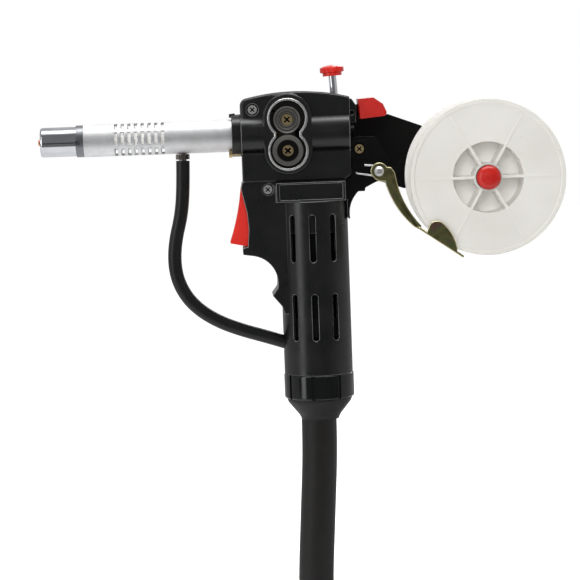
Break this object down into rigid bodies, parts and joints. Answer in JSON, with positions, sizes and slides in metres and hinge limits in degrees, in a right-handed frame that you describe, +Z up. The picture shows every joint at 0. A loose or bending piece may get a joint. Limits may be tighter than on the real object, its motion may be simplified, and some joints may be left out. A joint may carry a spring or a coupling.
{
  "type": "mig welding torch",
  "caption": "Pistol welding torch with its own wire spool: grooved barrel and bright nozzle, roller head with an oval window, trigger grip, spool on a rear arm, trailing cable in a coil.",
  "frame": {"origin": "middle of the hand's hold on the grip, on the grip's axis, 100 mm below the barrel's axis", "axes": "+X along the barrel from the nozzle to the spool, +Z up along the grip, -Y the side with the roller window, trigger finger side at -X"},
  "size_m": [0.4688, 0.332, 0.4718],
  "materials": {
    "black_plastic": "satin",
    "gloss_black": "gloss",
    "red_plastic": "gloss",
    "grey_plastic": "satin",
    "natural_plastic": "satin, slightly clear",
    "chrome_plate": "polished",
    "barrel_aluminium": "satin",
    "cast_aluminium": "polished edge",
    "bare_steel": "satin",
    "spring_steel": "satin",
    "yellow_zinc": "yellow zinc plate",
    "brass_parts": "satin",
    "copper_tip": "satin",
    "motor_steel": "satin",
    "black_rubber": "satin"
  },
  "bodies": {
    "gun": {"nozzle": "chrome_plate", "nozzle_ring": "grey_plastic", "gas_diffuser": "brass_parts", "contact_tip": "copper_tip", "conductor_tube": "brass_parts", "barrel_tube": "barrel_aluminium", "barrel_insulator": "black_plastic", "clamp_collar": "black_plastic", "collar_screw": "bare_steel", "gas_nipple": "brass_parts", "head_shell_left": "black_plastic", "head_shell_right": "black_plastic", "feeder_frame": "cast_aluminium", "wire_outlet_guide": "brass_parts", "wire_inlet_guide": "black_plastic", "shaft_bush": "brass_parts", "arm_pivot_pin": "bare_steel", "swivel_nut": "grey_plastic", "tension_spring": "spring_steel", "handle_shell_left": "black_plastic", "handle_shell_right": "black_plastic", "shell_screws": "bare_steel", "gearbox": "black_plastic", "motor": "motor_steel", "trigger_pin": "bare_steel", "trigger_spring": "spring_steel", "microswitch": "black_plastic", "gland_nut": "gloss_black", "strain_relief": "black_rubber", "spool_bracket": "black_plastic", "bracket_screws": "yellow_zinc", "cheek_screw": "yellow_zinc", "spool_axle": "black_plastic", "spool_washer": "black_plastic", "spool_cap": "red_plastic", "brake_rivet": "chrome_plate", "brake_spring": "spring_steel", "gas_hose": "black_rubber", "cable": "black_rubber", "cable_coil": "black_rubber", "coil_tie": "black_plastic", "plug_body": "black_plastic", "plug_pin": "brass_parts"},
    "drive": {"drive_roller": "bare_steel", "drive_roller_screw": "yellow_zinc", "drive_shaft": "bare_steel", "worm_wheel": "brass_parts"},
    "worm": {"worm_shaft": "bare_steel"},
    "arm": {"pressure_arm": "barrel_aluminium", "thumb_lever": "red_plastic", "idler_pin": "bare_steel", "idler_screw": "yellow_zinc"},
    "idler": {"idler_roller": "bare_steel"},
    "seat": {"spring_seat": "bare_steel"},
    "knob": {"tension_rod": "chrome_plate", "tension_knob": "red_plastic"},
    "trigger": {"trigger": "red_plastic"},
    "spool": {"spool": "natural_plastic"},
    "brake": {"brake_arm": "yellow_zinc"},
    "coupling_nut": {"plug_nut": "bare_steel"}
  },
  "joints": [
    {"name": "drive_spin", "type": "hinge", "parent": "gun", "child": "drive", "pos_m": [-0.0152, 0, 0.0893], "axis": [0, 1, 0], "continuous": true},
    {"name": "worm_spin", "type": "hinge", "parent": "gun", "child": "worm", "pos_m": [-0.0011, 0.011, 0.0893], "axis": [0, 0, 1], "continuous": true},
    {"name": "arm_lift", "type": "hinge", "parent": "gun", "child": "arm", "pos_m": [0.0276, 0.011, 0.112], "axis": [0, 1, 0], "range_deg": [0, 4], "stiffness_Nm_per_rad": 0.5, "springref_deg": -5.73},
    {"name": "idler_spin", "type": "hinge", "parent": "arm", "child": "idler", "pos_m": [-0.0152, 0, 0.1093], "axis": [0, 1, 0], "continuous": true},
    {"name": "seat_slide", "type": "slide", "parent": "gun", "child": "seat", "axis": [0.061, 0, -0.9981], "range_m": [0, 0.0016], "deforming": ["tension_spring"]},
    {"name": "knob_turn", "type": "hinge", "parent": "seat", "child": "knob", "pos_m": [0.01595, 0.0114, 0.137], "axis": [0.061, 0, -0.9981], "range_deg": [0, 720]},
    {"name": "trigger_squeeze", "type": "hinge", "parent": "gun", "child": "trigger", "pos_m": [-0.0405, 0, 0.063], "axis": [0, -1, 0], "range_deg": [0, 7.5], "stiffness_Nm_per_rad": 0.3, "springref_deg": -11.46},
    {"name": "spool_spin", "type": "hinge", "parent": "gun", "child": "spool", "pos_m": [0.112, 0, 0.068], "axis": [0, 1, 0], "continuous": true},
    {"name": "brake_swing", "type": "hinge", "parent": "gun", "child": "brake", "pos_m": [0.0428, 0, 0.074], "axis": [0, 1, 0], "range_deg": [0, 45], "stiffness_Nm_per_rad": 0.06, "springref_deg": -28.65},
    {"name": "coupling_turn", "type": "hinge", "parent": "gun", "child": "coupling_nut", "pos_m": [-0.05332, 0.2778, -0.3025], "axis": [-0.9996, 0.0276, 0], "continuous": true}
  ],
  "couplings": [
    {"joint": "worm_spin", "follows": "drive_spin", "ratio": 25},
    {"joint": "knob_turn", "follows": "seat_slide", "rad_per_m": 7854}
  ]
}
